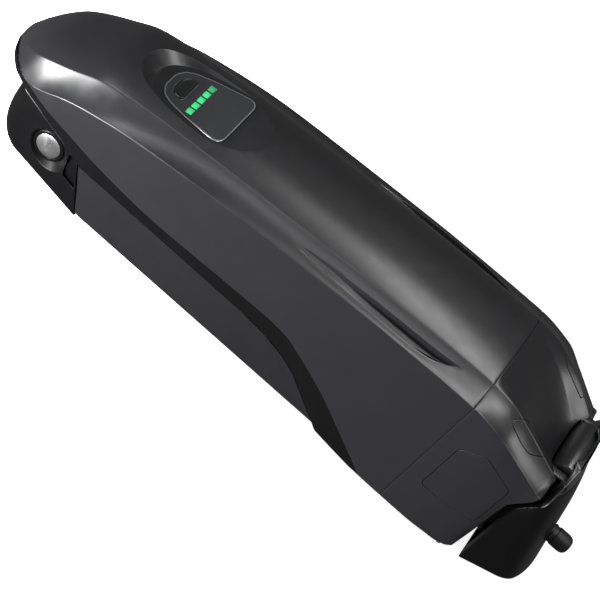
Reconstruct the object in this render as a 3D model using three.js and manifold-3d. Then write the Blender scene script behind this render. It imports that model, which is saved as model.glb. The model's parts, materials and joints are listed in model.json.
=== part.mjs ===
// Battery pack of an electric bicycle, seated in the two-piece mount that bolts to the frame's down tube.
// Millimetres. +X runs along the pack from its lock end to its connector end, +Z points away from the
// tube, and z = 0 is the plane of the mount's feet. The lock faces -Y.
// Places along X are measured from a station just behind the nose, and the whole group is shifted at the
// end so that the origin is the bottom centre of the assembly.

import * as THREE from "three";
import { mergeVertices } from "three/addons/utils/BufferGeometryUtils.js";
import Module from "manifold-3d";

const wasm = await Module();
wasm.setup();

// ---- driving dimensions -------------------------------------------------------------------------

const NOSE_X = -3; // tip of the pack's nose
const SEAM_X = 306; // joint between the main shell and the end cap
const END_X = 366.5; // outermost point of the end cap
const PLUG_END_X = 406; // outermost point of the cable gland
const HALF_WIDTH = 45.5; // widest line of the pack
const BASE_Z = 1.5; // underside of the pack above the mounting plane
const WALL = 2.6; // moulded walls of the pack
const GAP = 0.3; // clearance between neighbouring pieces

const SWING_X = 369; // pivot that the pack swings out about
const SWING_Z = 78;
const ROLL_RADIUS = 9.2; // rounded hood over the pivot, and half its length
const ROLL_HALF = 19.4;
const PIN_RADIUS = 2.5; // pivot pin, and half its length
const PIN_HALF = 25.4;
const HOOK = { inner: 20.4, outer: 25.6, radius: 5.4 }; // the pack's arms round the pin

const LOCK = { x: 47.4, z: 21.8, radius: 7.6, face: 32.4, inner: 12 };
const LATCH = { tip: 70.6, tail: 45, half: 8, low: 16, high: 24 }; // drawn back, clear of the pack
const LATCH_Z = (LATCH.low + LATCH.high) / 2;
const SPRING = { start: 26, end: 36, radius: 4, wire: 0.5, turns: 4 };
const MOUNT_FLARE = 9 / 66; // the upper mount widens towards the pack

const UPPER_BOLTS = [{ x: 27, seat: 6 }, { x: 74, seat: 4 }]; // M5 bolts into the frame tube
const LOWER_BOLTS = { x: 384, y: 14, seat: 4.4 };
const BOLT = { head: 4.4, height: 4.5, socket: 2.3, shank: 2.5, hole: 2.9, sink: 5.2 };
const HOOD_Z = 70.3; // foot of the lower mount's hood
const GLAND_Z = 22;

const PANEL_Z = 93.7; // display panel's top face at PANEL_X, and its rise along X
const PANEL_X = 100;
const PANEL_SLOPE = 0.2;
const PANEL_THICKNESS = 1.6;
const LED_COUNT = 5;

const CELL_RADIUS = 9.15; // 18 x 65 mm cylindrical cells, ten groups of four
const CELL_LENGTH = 65;
const CELL_PITCH = 19;
const CELL_COLUMNS = 10;
const CELL_ROWS = 4;
const CELLS_X = 104;
const CELLS_Z = 6.5;

const BLADE_OFFSETS = [-10.5, -3.5, 3.5, 10.5]; // contact blades across the lower mount
const SCREW_PLACES = [[95, -31], [95, 31], [300.4, -31], [300.4, 31]];

// ---- small tools --------------------------------------------------------------------------------

// A smooth curve through named stations that never overshoots them.
function through(...points) {
  const secant = (i) => (points[i + 1][1] - points[i][1]) / (points[i + 1][0] - points[i][0]);
  const last = points.length - 1;
  const slope = (i) => {
    if (i === 0) return secant(0);
    if (i === last) return secant(last - 1);
    const before = secant(i - 1);
    const after = secant(i);
    return before * after <= 0 ? 0 : (2 * before * after) / (before + after);
  };
  return (x) => {
    if (x <= points[0][0]) return points[0][1];
    if (x >= points[last][0]) return points[last][1];
    let i = 0;
    while (x > points[i + 1][0]) i += 1;
    const span = points[i + 1][0] - points[i][0];
    const t = (x - points[i][0]) / span;
    const a = points[i][1];
    const b = points[i + 1][1];
    const [da, db] = [slope(i) * span, slope(i + 1) * span];
    return a + t * (da + t * (3 * (b - a) - 2 * da - db + t * (2 * (a - b) + da + db)));
  };
}

function solidFrom(positions, triangles) {
  const make = (faces) =>
    new wasm.Manifold(
      new wasm.Mesh({
        numProp: 3,
        vertProperties: new Float32Array(positions),
        triVerts: new Uint32Array(faces),
      }),
    );
  const solid = make(triangles);
  if (solid.volume() > 0) return solid;
  return make(triangles.slice().reverse());
}

function solidOf(geometry) {
  geometry.deleteAttribute("normal");
  geometry.deleteAttribute("uv");
  const merged = mergeVertices(geometry, 1e-4);
  return solidFrom([...merged.attributes.position.array], [...merged.index.array]);
}

// A closed body through rings of equal length, each end closed by a fan about its own middle.
function loft(rings) {
  const count = rings[0].length;
  const positions = [];
  const triangles = [];
  rings.forEach((ring) => ring.forEach((p) => positions.push(...p)));
  for (let r = 0; r + 1 < rings.length; r += 1) {
    for (let i = 0; i < count; i += 1) {
      const [a, b] = [r * count + i, r * count + ((i + 1) % count)];
      triangles.push(a, b, b + count, a, b + count, a + count);
    }
  }
  [0, rings.length - 1].forEach((r) => {
    const middle = [0, 1, 2].map((k) => {
      const values = rings[r].map((p) => p[k]);
      return (Math.min(...values) + Math.max(...values)) / 2;
    });
    const hub = positions.length / 3;
    positions.push(...middle);
    for (let i = 0; i < count; i += 1) {
      const [a, b] = [r * count + i, r * count + ((i + 1) % count)];
      triangles.push(...(r === 0 ? [hub, b, a] : [hub, a, b]));
    }
  });
  return solidFrom(positions, triangles);
}

const drawn = (outline) => new THREE.Shape(outline.map(([u, v]) => new THREE.Vector2(u, v)));
const X = new THREE.Vector3(1, 0, 0);
const Y = new THREE.Vector3(0, 1, 0);
const Z = new THREE.Vector3(0, 0, 1);

// A straight bar along an axis with an outline drawn in the plane across it: [y, z] for a bar along x,
// [x, z] for a bar along y and [x, y] for a bar along z.
function bar(axis, outline, from, to) {
  const geometry = new THREE.ExtrudeGeometry(drawn(outline), { depth: to - from, bevelEnabled: false });
  const basis = {
    x: [Y, Z, X],
    y: [X, Z, Y.clone().negate()],
    z: [X, Y, Z],
  }[axis];
  geometry.translate(0, 0, axis === "y" ? -to : from);
  geometry.applyMatrix4(new THREE.Matrix4().makeBasis(...basis));
  return solidOf(geometry);
}

// A round wire along a smooth path.
function wire(points, radius, steps, sides) {
  const path = new THREE.CatmullRomCurve3(points.map((p) => new THREE.Vector3(...p)));
  const section = drawn(circle(0, 0, radius, sides));
  return solidOf(new THREE.ExtrudeGeometry(section, { steps, bevelEnabled: false, extrudePath: path }));
}

// A hexagon-socket bolt that stands on its seat, with its shank down through the mount's foot.
function socketBolt(x, y, seat) {
  const head = bar("z", circle(x, y, BOLT.head, 16), seat, seat + BOLT.height);
  const shank = bar("z", circle(x, y, BOLT.shank, 12), 0.2, seat + 1);
  const socket = bar("z", circle(x, y, BOLT.socket, 6), seat + 1.6, seat + 9);
  return cut(joined(head, shank), socket);
}

// The space that the latch bolt slides through, with a clearance all round.
function latchWay(clearance) {
  const [half, low, high] = [LATCH.half + clearance, LATCH.low - clearance, LATCH.high + clearance];
  return box(60, 90, -half, half, low, high);
}

function box(x0, x1, y0, y1, z0, z1) {
  const geometry = new THREE.BoxGeometry(x1 - x0, y1 - y0, z1 - z0);
  geometry.translate((x0 + x1) / 2, (y0 + y1) / 2, (z0 + z1) / 2);
  return solidOf(geometry);
}

function circle(u, v, radius, sides = 24) {
  return Array.from({ length: sides }, (_, i) => {
    const angle = ((i + 0.5) / sides) * 2 * Math.PI;
    return [u + radius * Math.cos(angle), v + radius * Math.sin(angle)];
  });
}

function rounded(u0, u1, v0, v1, radius, steps = 3) {
  const corners = [[u1, v1, 0], [u0, v1, 1], [u0, v0, 2], [u1, v0, 3]];
  return corners.flatMap(([u, v, quarter]) =>
    Array.from({ length: steps + 1 }, (_, i) => {
      const angle = ((quarter + i / steps) * Math.PI) / 2;
      const cu = u + (u === u1 ? -radius : radius);
      const cv = v + (v === v1 ? -radius : radius);
      return [cu + radius * Math.cos(angle), cv + radius * Math.sin(angle)];
    }),
  );
}

const mirrored = (outline) => [...outline, ...outline.map(([u, v]) => [u, -v]).reverse()];
const joined = (first, ...others) => others.reduce((all, s) => all.add(s), first);
const cut = (first, ...tools) => tools.reduce((all, s) => all.subtract(s), first);
const both = (make) => [make(-1), make(1)];

function span(side, near, far) {
  return side < 0 ? [-far, -near] : [near, far];
}

const root = new THREE.Group();
root.position.x = -(NOSE_X + PLUG_END_X) / 2;

const finish = (color, roughness, metalness = 0) =>
  new THREE.MeshStandardMaterial({ color, roughness, metalness });
const SHELL = finish(0x2b2b2d, 0.42);
const CASE = finish(0x29282b, 0.5);
const MOUNT = finish(0x18181a, 0.6);
const PANEL = finish(0x2a2b2d, 0.5);
const BRUSHED = finish(0xb9babc, 0.3, 1);
const STEEL = finish(0x8a8b8d, 0.35, 1);
const LIT = finish(0x27c46a, 0.3);
const CELL = finish(0x2f6f86, 0.5);
const TRAY = finish(0x202124, 0.7);
const BOARD = finish(0x12502f, 0.5);
const COPPER = finish(0xb87b3e, 0.4, 1);
const RUBBER = finish(0x101011, 0.85);
const FUSE = finish(0xcfc7a8, 0.5);
const RED = finish(0xa11f1c, 0.5);

function piece(name, solid, material) {
  const mesh = solid.getMesh();
  const geometry = new THREE.BufferGeometry();
  geometry.setAttribute("position", new THREE.BufferAttribute(mesh.vertProperties, 3));
  geometry.setIndex(new THREE.BufferAttribute(mesh.triVerts, 1));
  geometry.computeVertexNormals();
  const node = new THREE.Mesh(geometry, material.clone());
  node.name = name;
  root.add(node);
}

// ---- the pack's outer form ----------------------------------------------------------------------
// Each cross-section runs from the crown over the ridge, down a slanted channel to the widest line,
// and down the side to a step: below the step an undercut leads in to the lower case.

const ridgeWidth = through(
  [NOSE_X, 6], [5, 18], [16, 26], [34, 29], [60, 30], [330, 29.8], [344, 29], [367, 25],
);
const ridgeHeight = through(
  [NOSE_X, 47], [5, 55], [16, 63.5], [34, 74], [53, 84], [76, 88.8], [119, 94.5], [178, 100],
  [240, 105], [SEAM_X, 107.4], [319.5, 105.9], [330, 101.8], [344, 94.7], [367, 80],
);
const crown = through([NOSE_X, 2], [5, 5], [16, 6.5], [34, 6.5], [53, 5.5], [100, 4.5], [SEAM_X, 3.6]);
const wideHeight = through(
  [NOSE_X, 46], [8, 48], [25, 54.5], [40, 64.6], [56, 72], [80, 79.5], [132, 88.7], [184, 93.4],
  [251, 98], [SEAM_X, 99.4], [328, 95.4], [342, 88.1], [363, 76.4],
);
const wideWidth = through(
  [NOSE_X, 8], [1, 19], [8.5, 29], [17, 34], [25, 37.5], [40, 40.7], [80, 44], [125, HALF_WIDTH],
  [328, HALF_WIDTH], [342, 43.7], [357, 41], [363, 40],
);
const stepHeight = through(
  [NOSE_X, 45], [25, 47.5], [67, 45], [114, 45], [173, 47], [197, 47.6], [210, 46.5], [222, 42],
  [244, 31.5], [271, 14.5], [293, 0.5],
);
const footWidth = through(
  [NOSE_X, 7.5], [1, 18], [17, 33.5], [40, 40.3], [125, 45], [271, 45], [308, 45.6], [323, 45.6],
  [337, 44.6], [350, 42], [356, 37],
);
const lipHeight = through(
  [NOSE_X, 44], [25, 44], [49, 39.5], [70, 34.8], [185, 34], [202, 32.4], [217, 28.6], [227, 24],
  [236, 17.3], [249, 7.4], [259, -0.5], [293, -30],
);
const lipWidth = through([NOSE_X, 5], [1, 16], [8.5, 26], [17, 31], [25, 34.5], [40, 37.5], [70, 41]);

// The end cap's crown sinks between two inner lines.
const VALLEY_START = 0.78;
const valleyWidth = through([SEAM_X, 23.4], [324.5, 19.6], [336, 19.5], [360, 15.3]);
const valleyHeight = through([SEAM_X, 109.1], [324.5, 103], [336, 95.6], [360, 78.8]);
const valleyDip = through([SEAM_X, -1.9], [324, 1], [340, 3], [360, 3.5]);

function crownPoints(x) {
  const [w, z, rise] = [ridgeWidth(x), ridgeHeight(x), crown(x)];
  if (x <= SEAM_X) {
    return [0, 0.35, 0.62, VALLEY_START, 0.9].map((f) => [f * w, z + rise * (1 - f ** 2.6)]);
  }
  const [wi, zi, dip] = [valleyWidth(x), valleyHeight(x), valleyDip(x)];
  const floor = [0, 0.45, 0.8, 1].map((f) => [f * wi, zi - dip * (1 - f * f)]);
  return [...floor, [(wi + w) / 2, (zi + z) / 2 + 0.3]];
}

function halfSection(x, inset, bottom) {
  const [w1, z1, w2, z2] = [ridgeWidth(x), ridgeHeight(x), wideWidth(x), wideHeight(x)];
  const hollow = Math.min(1, (w2 - w1) / 12); // the channel is slightly concave
  const channel = [1 / 3, 2 / 3].map((f) => [w1 + (w2 - w1) * f, z1 + (z2 - z1) * f - hollow]);
  const foot = [footWidth(x), Math.max(stepHeight(x), BASE_Z + 0.8)];
  const bulge = [1 / 3, 2 / 3].map((f) => [
    w2 + (foot[0] - w2) * f + 0.3,
    z2 + (foot[1] - z2) * f,
  ]);
  const reach = Math.min(1, (foot[1] - BASE_Z) / Math.max(foot[1] - lipHeight(x), 0.01));
  const lip = [foot[0] + (lipWidth(x) - foot[0]) * reach, Math.max(lipHeight(x), BASE_Z)];
  if (lip[1] === BASE_Z) lip[0] = Math.min(lip[0], foot[0] - 0.8);
  const inward = ([y, z], i) => {
    if (i <= 5) return [y * (1 - inset / w2), z - inset];
    if (i <= 8) return [y - 0.9 * inset, z - 0.8 * inset];
    return [y - inset, z];
  };
  const points = [...crownPoints(x), [w1, z1], ...channel, [w2, z2], ...bulge, foot, lip].map(inward);
  if (bottom === "open") points.push([points.at(-1)[0], -20]);
  if (bottom === "closed" && inset > 0) {
    points.at(-1)[1] = BASE_Z + inset;
    points.at(-2)[1] = Math.max(points.at(-2)[1], BASE_Z + inset + 0.5);
  }
  return points;
}

function envelope(stations, inset = 0, bottom = "closed") {
  return loft(
    stations.map((x) => {
      const half = halfSection(x, inset, bottom);
      const other = half.slice(1).map(([y, z]) => [-y, z]);
      return [...half, ...other.reverse()].map(([y, z]) => [x, y, z]);
    }),
  );
}

const SHELL_STATIONS = [
  NOSE_X, -1.5, 1, 5, 10, 17, 25, 34, 44, 55, 68, 84, 105, 132, 165, 190, 202, 212, 222, 233, 246, 259,
  275, 293,
];
const ROOM_STATIONS = [2, 5, 10, 17, 25, 34, 44, 55, 84, 132, 190, 212, 233, 259, 293, 310];
const CAP_STATIONS = [319.5, 325, 330, 337, 344, 351, 357, 363, 370];

// The end cap's outline seen from the side: upright up to the beak that overhangs the mount.
function capOutline(inset) {
  return [
    [290, -30], [354.5 - inset, -30], [355.5 - inset, 20], [357 - inset, 56], [360 - inset, 62],
    [365 - inset, 70.5], [END_X - inset, 79], [END_X - inset, 130], [290, 130],
  ];
}

// The line where the pack's slanted front wall faces the upper mount, and the nose floor above it.
const noseFloor = (x) => 36.2 + (67 - x) * 0.135;

// ---- display panel set into a scoop of the main shell --------------------------------------------

// Everything here is drawn flat and then tilted along the panel's slope.
function onPanel(outline, low, high) {
  const tilt = new THREE.Matrix4().set(
    1, 0, 0, 0, 0, 1, 0, 0, PANEL_SLOPE, 0, 1, PANEL_Z - PANEL_SLOPE * PANEL_X, 0, 0, 0, 1,
  );
  const geometry = new THREE.ExtrudeGeometry(drawn(outline), { depth: high - low, bevelEnabled: false });
  geometry.translate(0, 0, low);
  geometry.applyMatrix4(tilt);
  return solidOf(geometry);
}

const panelOutline = (grow) =>
  mirrored([
    [118 + grow, 16.5 + 0.4 * grow], [116.3 + grow, 20 + grow], [113, 20.8 + grow], [95, 17.8 + grow],
    [83.5, 14.5 + grow], [78.5 - 0.7 * grow, 11.3 + 0.7 * grow], [75.6 - grow, 5.5],
  ]);
const scoopOutline = (grow) =>
  mirrored([
    [143 + grow, 21 + grow], [118, 24 + grow], [100, 22.5 + grow], [84, 20 + grow],
    [72, 16.5 + grow], [65.5 - 0.7 * grow, 12 + 0.7 * grow], [62 - grow, 5],
  ]);
const buttonOutline = (grow) =>
  mirrored([
    [87.7 + grow, 8.4 + grow], [85.5, 9.3 + grow], [82.6 - 0.5 * grow, 8.6 + 0.8 * grow],
    [80.2 - 0.9 * grow, 6 + 0.5 * grow], [79.4 - grow, 2.4],
  ]);
const ledOutline = (i, grow) => {
  const middle = (i - (LED_COUNT - 1) / 2) * 5.9 - 0.9;
  return [
    [93.2 - grow, middle - 2.3 - grow], [96.6 + grow, middle - 2.3 - grow],
    [96.6 + grow, middle + 2.3 + grow], [93.2 - grow, middle + 2.3 + grow],
  ];
};
const SCOOP_FLOOR = -0.5; // below the panel's face

// ---- finger grips in the channels ----------------------------------------------------------------

function gripPocket(side, grow) {
  const top = through([190, 104], [285, 108.5]);
  const depth = through([196, -1], [225, 6.2], [268, 6.2], [286, -1]);
  const stations = [196, 212, 228, 248, 268, 280, 286];
  const half = through([196, 1.2], [215, 3], [268, 3], [286, 0.6]);
  return loft(
    stations.map((x) => {
      const [w, floor] = [half(x) + grow, top(x) - 4.5 - depth(x) - grow];
      const middle = 38.1 * side;
      const slant = side * 1.2;
      return [
        [x, middle - w + slant, 118], [x, middle + w + slant, 118],
        [x, middle + w - slant, floor], [x, middle - w - slant, floor],
      ];
    }),
  );
}

// ---- ridge plugs and charge cover, cut out of the end cap's skin ---------------------------------

const plugOutline = (side, grow) =>
  [
    [334 - grow, 25.6 - grow], [351.8 + grow, 25.2 - grow], [352.4 + grow, 28 + 0.3 * grow],
    [344.5 + 0.7 * grow, 34.5 + 0.7 * grow], [337.5, 36 + grow], [328, 35.9 + grow],
    [325.4 - grow, 34.4 + 0.3 * grow],
  ].map(([x, y]) => [x, side * y]);

const coverOutline = (grow) => [
  [316.5 - grow, 32.5 - 0.6 * grow], [318 - 0.4 * grow, 31.5 - grow], [350.5 + 0.4 * grow, 31.5 - grow],
  [351.6 + grow, 33 - 0.4 * grow], [351.6 + grow, 66.5 + 0.5 * grow], [350 + grow, 69.5 + grow],
  [338, 76.6 + grow], [330, 79 + grow], [323, 76 + grow], [317 - 0.5 * grow, 70.8 + grow],
  [316.5 - grow, 69.8],
];

// ---- shells of the pack ---------------------------------------------------------------------------

function upperShell() {
  const outer = envelope([...SHELL_STATIONS, SEAM_X - GAP / 2]);
  const inner = envelope(ROOM_STATIONS, WALL, "open");
  const liners = [
    onPanel(scoopOutline(2.2), -5, 22),
    ...both((side) => gripPocket(side, 2.2)),
  ].map((s) => s.intersect(envelope([...SHELL_STATIONS, SEAM_X - GAP / 2], 0.2)));
  const hollow = cut(outer, inner);
  return cut(
    joined(hollow, ...liners),
    onPanel(scoopOutline(0), SCOOP_FLOOR, 22),
    onPanel(panelOutline(0.8), -PANEL_THICKNESS - GAP, 2),
    onPanel(rounded(78.5, 98.5, -15, 13.5, 2), -8, 2),
    ...both((side) => gripPocket(side, 0)),
  );
}

// An open tub: its walls stand outside the rim that reaches up into the main shell, and a plate under
// the nose rests above the upper mount.
function lowerCase() {
  const [wall, rimHalf, room] = [40.6, 37.3, 35.6];
  const lipLine = [249, 236, 227, 217, 202, 185, 70].map((x) => [x, lipHeight(x) - 0.7]);
  const front = [[68.2, 34.2], [74.8, 20], [81, 5.5], [84, BASE_Z]];
  const tub = bar("y", [...front, [257.5, BASE_Z], ...lipLine], -wall, wall);
  const bevelled = bar("x", [
    [-wall, 60], [-wall, 5], [-38, BASE_Z], [38, BASE_Z], [wall, 5], [wall, 60],
  ], 0, 300);
  const rimTop = [[249, 12], [236, 21], [217, 32.5], [202, 36.3], [185, 37.6], [69.3, 38.6]];
  const rim = bar("y", [[69.3, 33], [90, 3], [262, 3], [262, 6], ...rimTop], -rimHalf, rimHalf);
  const tail = box(259.5, SEAM_X - 1.5, -38.4, 38.4, BASE_Z, 4.8);
  const bridge = box(250, 261, -35, 35, BASE_Z, 4.8);
  const noseProfile = [
    [3, noseFloor(3)], [67.3, noseFloor(67.3)], [69, 33.5], [71, 33.5], [71, 38.2],
    [3, noseFloor(3) + 2.8],
  ];
  const nosePlan = mirrored([[80, 37.4], [40, 34], [25, 31], [17, 27.6], [8.5, 22.5], [2, 15]]);
  const nose = bar("y", noseProfile, -50, 50).intersect(bar("z", nosePlan, 20, 60));
  const cavity = bar(
    "y",
    [[72, 34.2], [84.6, 4.2], [310, 4.2], [310, 60], [72, 60]],
    -room,
    room,
  );
  const bosses = SCREW_PLACES.map(([x, y]) => bar("z", circle(x, y, 3.8, 12), 3.6, 12));
  const screwHoles = SCREW_PLACES.flatMap(([x, y]) => [
    bar("z", circle(x, y, 3, 12), 0, 2.9),
    bar("z", circle(x, y, 1.8, 12), 0, 11),
  ]);
  const shell = cut(joined(tub.intersect(bevelled), rim, tail, bridge, nose), cavity);
  return cut(joined(shell, ...bosses), ...screwHoles, latchWay(0.7));
}

function endCap() {
  const stations = [SEAM_X + GAP / 2, ...CAP_STATIONS];
  const outer = envelope(stations).intersect(bar("y", capOutline(0), -60, 60));
  const rollRecess = bar("y", circle(SWING_X, SWING_Z, ROLL_RADIUS + 1.2, 28), -19.9, 19.9);
  const behindRecess = bar("y", circle(SWING_X, SWING_Z, ROLL_RADIUS + 3.8, 28), -22.5, 22.5);
  const inner = cut(
    envelope([300, ...CAP_STATIONS], WALL).intersect(bar("y", capOutline(WALL), -60, 60)),
    behindRecess,
    ...both((side) => {
      const outline = plugOutline(side, 1.5);
      return bar("z", outline, 70, 120).intersect(cut(outer, envelope(stations, 3.4)));
    }),
  );
  const [armFoot, armTop] = [SWING_Z - HOOK.radius, SWING_Z + HOOK.radius - 0.4];
  const arm = [[359, 73], [SWING_X, armFoot], [SWING_X, armTop], [361, 80]];
  const hooks = both((side) => {
    const reach = span(side, HOOK.inner, HOOK.outer);
    return joined(bar("y", circle(SWING_X, SWING_Z, HOOK.radius, 20), ...reach), bar("y", arm, ...reach));
  });
  const pinBore = bar("y", circle(SWING_X, SWING_Z, PIN_RADIUS + 0.35, 20), -30, 30);
  const socketWindow = box(350, 360, -16.3, 16.3, 7.7, 34.3);
  const coverHole = bar("y", coverOutline(GAP), -60, -30);
  const plugRecesses = both((side) => {
    const column = bar("z", plugOutline(side, GAP), 70, 120);
    return column.intersect(cut(envelope(stations, -2), envelope(stations, 1.7)));
  });
  return cut(
    joined(cut(outer, inner), ...hooks),
    rollRecess,
    pinBore,
    socketWindow,
    coverHole,
    ...plugRecesses,
  );
}

function packShells() {
  piece("upper_shell", upperShell(), SHELL);
  piece("lower_case", lowerCase(), CASE);
  piece("end_cap", endCap(), SHELL);

  const stations = [300.5, 306, 311.5];
  const seal = cut(envelope(stations, WALL + 2.2), envelope([299, 306, 313], WALL + 4));
  piece("cap_seal", cut(seal, box(290, 320, -60, 60, -5, 14)), RUBBER);

  const skinStations = [SEAM_X + GAP / 2, ...CAP_STATIONS];
  const skin = cut(envelope(skinStations), envelope(skinStations, 1.4));
  both((side) => {
    const name = side < 0 ? "ridge_plug_right" : "ridge_plug_left";
    piece(name, bar("z", plugOutline(side, 0), 70, 120).intersect(skin), RUBBER);
  });
  const coverSkin = cut(envelope(skinStations, 0.05), envelope(skinStations, 1.9));
  piece("charge_cover", bar("y", coverOutline(0), -60, -30).intersect(coverSkin), CASE);
}

// ---- display --------------------------------------------------------------------------------------

function display() {
  const leds = Array.from({ length: LED_COUNT }, (_, i) => i);
  const under = -PANEL_THICKNESS;
  const bezel = cut(onPanel(panelOutline(0.6), under, -0.1), onPanel(panelOutline(0.05), -3, 1));
  piece("display_bezel", bezel, BRUSHED);
  const panel = cut(
    onPanel(panelOutline(-0.25), under, 0),
    onPanel(buttonOutline(GAP), -3, 1),
    ...leds.map((i) => onPanel(ledOutline(i, 0.15), -3, 1)),
  );
  piece("display_panel", panel, PANEL);
  leds.forEach((i) => {
    piece("led_window_" + (i + 1), onPanel(ledOutline(i, 0), under, 0.05), LIT);
  });
  piece("display_board", onPanel(rounded(76, 112, -16, 16, 2), -8.8, -7.4), BOARD);
  const stem = onPanel(rounded(82, 85, -2, 2, 0.5), -5.6, -1);
  piece("power_button", joined(onPanel(buttonOutline(0), -1.4, 0.9), stem), RUBBER);
}

// ---- cells and electronics ------------------------------------------------------------------------

const cellsEndX = CELLS_X + CELL_COLUMNS * CELL_PITCH;
const cellsTopZ = CELLS_Z + CELL_ROWS * CELL_PITCH;

function cells() {
  const half = CELL_LENGTH / 2;
  const columns = Array.from({ length: CELL_COLUMNS }, (_, i) => CELLS_X + (i + 0.5) * CELL_PITCH);
  const rows = Array.from({ length: CELL_ROWS }, (_, i) => CELLS_Z + (i + 0.5) * CELL_PITCH);
  columns.forEach((x, i) => {
    const cans = rows.map((z) => bar("y", circle(x, z, CELL_RADIUS, 12), -half, half));
    const strips = both((side) =>
      box(x - 4, x + 4, ...span(side, half - 0.1, half + 0.5), CELLS_Z + 4, cellsTopZ - 4),
    );
    piece("cell_group_" + String(i + 1).padStart(2, "0"), joined(...cans, ...strips), CELL);
  });
  both((side) => {
    const block = (reach, near, far) => {
      const outline = rounded(
        CELLS_X - reach, cellsEndX + reach, CELLS_Z - reach, cellsTopZ + reach, 1, 2,
      );
      return bar("y", outline, ...span(side, near, far));
    };
    const windows = columns.map((x) =>
      box(x - 5, x + 5, ...span(side, 30, 40), CELLS_Z + 5, cellsTopZ - 5),
    );
    const tray = cut(block(1.9, 28, 35.2), block(GAP, 20, 33.4), ...windows);
    piece(side < 0 ? "cell_tray_right" : "cell_tray_left", tray, TRAY);
  });
}

function electronics() {
  const boardZ = cellsTopZ + 3.4;
  const board = box(150, 286, -26, 26, boardZ, boardZ + 1.6);
  const transistors = Array.from({ length: 6 }, (_, i) =>
    box(164 + i * 17, 174 + i * 17, -20, -8, boardZ + 1, boardZ + 5.5),
  );
  const heatSink = box(160, 262, 6, 16, boardZ + 1, boardZ + 6.5);
  piece("battery_management_board", joined(board, ...transistors, heatSink), BOARD);
  piece("main_fuse", bar("y", circle(94, 60, 5, 14), -15, 15), FUSE);

  [["positive_lead", 9, RED], ["negative_lead", -9, RUBBER]].forEach(([name, y, material]) => {
    const route = [
      [287, y, boardZ + 1], [300, y, boardZ - 1], [312, y, 66], [318, y, 44], [324, y, 26], [333, y, 22],
    ];
    piece(name, wire(route, 2, 14, 8), material);
  });

  const socketBody = box(334, 354, -15.5, 15.5, 8.5, 33.5);
  const slots = BLADE_OFFSETS.map((y) => box(344, 360, y - 1.2, y + 1.2, 13, 31.8));
  piece("discharge_socket", cut(socketBody, ...slots), TRAY);

  const chargeBody = box(322, 347, -37.5, -26, 38, 66);
  const chargeWell = bar("y", circle(334.5, 52, 8, 20), -45, -30);
  const chargePin = bar("y", circle(334.5, 52, 1.6, 10), -36, -28);
  piece("charge_socket", joined(cut(chargeBody, chargeWell), chargePin), TRAY);

  const strikeX = (z) => 70.2 + (38.6 - z) * 0.4186;
  const strike = bar(
    "y",
    [
      [strikeX(29) + 0.5, 29], [strikeX(11) + 0.5, 11], [strikeX(11) + 2.4, 11], [strikeX(29) + 2.4, 29],
    ],
    -12,
    12,
  );
  piece("strike_plate", cut(strike, latchWay(0.5)), STEEL);

  SCREW_PLACES.forEach(([x, y], i) => {
    const head = bar("z", circle(x, y, 2.6, 12), BASE_Z + 0.1, 2.7);
    const socket = bar("z", circle(x, y, 1.2, 6), 0, 2.1);
    const shank = bar("z", circle(x, y, 1.5, 10), 2.5, 10.5);
    piece("case_screw_" + (i + 1), cut(joined(head, shank), socket), STEEL);
  });

  both((side) => {
    const plan = [[339, 38], [350, 36.5], [350.5, 40.3], [346, 42.4], [339.5, 43.2]];
    const block = bar("z", plan.map(([x, y]) => [x, side * y]), 0.2, BASE_Z - GAP);
    piece(side < 0 ? "corner_foot_right" : "corner_foot_left", block, RUBBER);
  });
}

// ---- upper mount with the lock ----------------------------------------------------------------------

const mountSide = (x) => 30 + (x - 20) * MOUNT_FLARE;

// The flat inlay follows the slant of the mount's side.
function onMountSide(grow, low, high) {
  const outline = [
    [60.6 - grow, 33.6 + grow], [62.2 - grow, 20.6], [64 - 0.6 * grow, 17.4 - grow],
    [72.6 + grow, 16.7 - grow], [65.4 + grow, 33.6 + grow],
  ];
  const lean = new THREE.Matrix4().set(
    1, 0, 0, 0, -MOUNT_FLARE, 1, 0, -mountSide(0), 0, 0, 1, 0, 0, 0, 0, 1,
  );
  const geometry = new THREE.ExtrudeGeometry(drawn(outline), { depth: high - low, bevelEnabled: false });
  geometry.translate(0, 0, -high);
  geometry.applyMatrix4(new THREE.Matrix4().makeBasis(X, Z, Y.clone().negate()));
  geometry.applyMatrix4(lean);
  return solidOf(geometry);
}

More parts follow.
